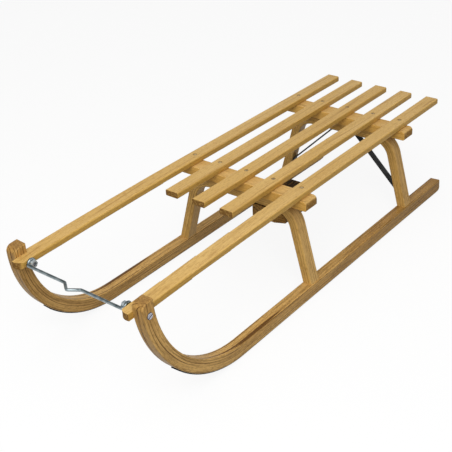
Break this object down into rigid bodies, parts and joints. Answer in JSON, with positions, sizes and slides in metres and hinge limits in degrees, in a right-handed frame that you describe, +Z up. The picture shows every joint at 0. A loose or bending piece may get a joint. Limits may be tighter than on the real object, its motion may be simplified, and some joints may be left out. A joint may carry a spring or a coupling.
{
  "type": "wooden sled",
  "caption": "Wooden sled with a slatted seat on bentwood bows, curved runners shod with steel and a swinging front pull bar.",
  "frame": {"origin": "on the floor below the middle of the sled", "axes": "+Z up, the front with the horns points to -Y, +X is the rider's left"},
  "size_m": [0.3744, 1.1017, 0.2576],
  "materials": {
    "slat_wood": "clear satin lacquer",
    "frame_wood": "clear satin lacquer",
    "runner_wood": "laminated, clear satin lacquer",
    "block_wood": "dark stain, dull",
    "black_steel": "black, semi-gloss",
    "zinc_steel": "bright zinc plating"
  },
  "bodies": {
    "sled": {"left_rail": "slat_wood", "right_rail": "slat_wood", "slat_left": "slat_wood", "slat_middle": "slat_wood", "slat_right": "slat_wood", "front_crossbar": "frame_wood", "rear_crossbar": "frame_wood", "front_bow": "frame_wood", "rear_bow": "frame_wood", "front_block": "block_wood", "left_runner": "runner_wood", "right_runner": "runner_wood", "left_runner_steel": "black_steel", "right_runner_steel": "black_steel", "rear_brace": "black_steel", "left_horn_bolt": "zinc_steel", "right_horn_bolt": "zinc_steel", "left_horn_nut": "zinc_steel", "right_horn_nut": "zinc_steel"},
    "pull_bar": {"pull_bar": "zinc_steel"}
  },
  "joints": [
    {"name": "pull_bar_swing", "type": "hinge", "parent": "sled", "child": "pull_bar", "pos_m": [0, -0.52185, 0.229], "axis": [1, 0, 0], "continuous": true}
  ]
}
